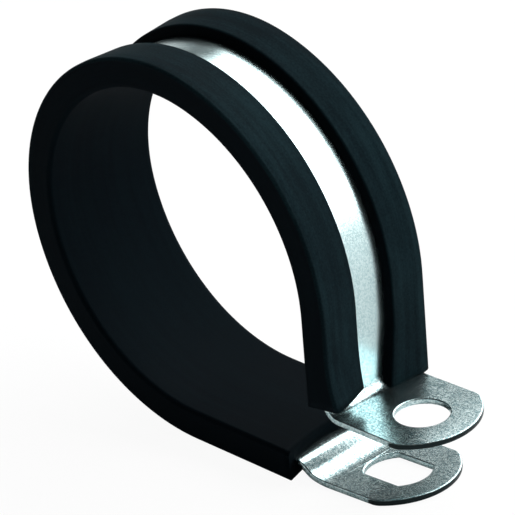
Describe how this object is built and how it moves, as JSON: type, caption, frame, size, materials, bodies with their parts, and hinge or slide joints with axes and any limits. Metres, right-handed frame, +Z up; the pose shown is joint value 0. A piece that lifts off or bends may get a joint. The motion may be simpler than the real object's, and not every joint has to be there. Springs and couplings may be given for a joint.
{
  "type": "p clip",
  "caption": "Rubber-lined steel P clip, open as supplied: a flat strip bent into a loop round a pipe or cable, lined with a rubber profile, with two ears that bolt together.",
  "frame": {"origin": "middle of the lower ear's hole, in the plane of that ear's underside, which is the face the clip is bolted down on", "axes": "+X out along the ears, +Y along the pipe's axis, +Z up from the mounting face through both holes"},
  "size_m": [0.0636, 0.0176, 0.0517],
  "materials": {
    "plated_steel": "bright zinc plate with a faint blue-green tint",
    "lining_rubber": "matt black extruded rubber"
  },
  "bodies": {
    "root": {"clip_band": "plated_steel", "rubber_lining": "lining_rubber"}
  },
  "joints": []
}
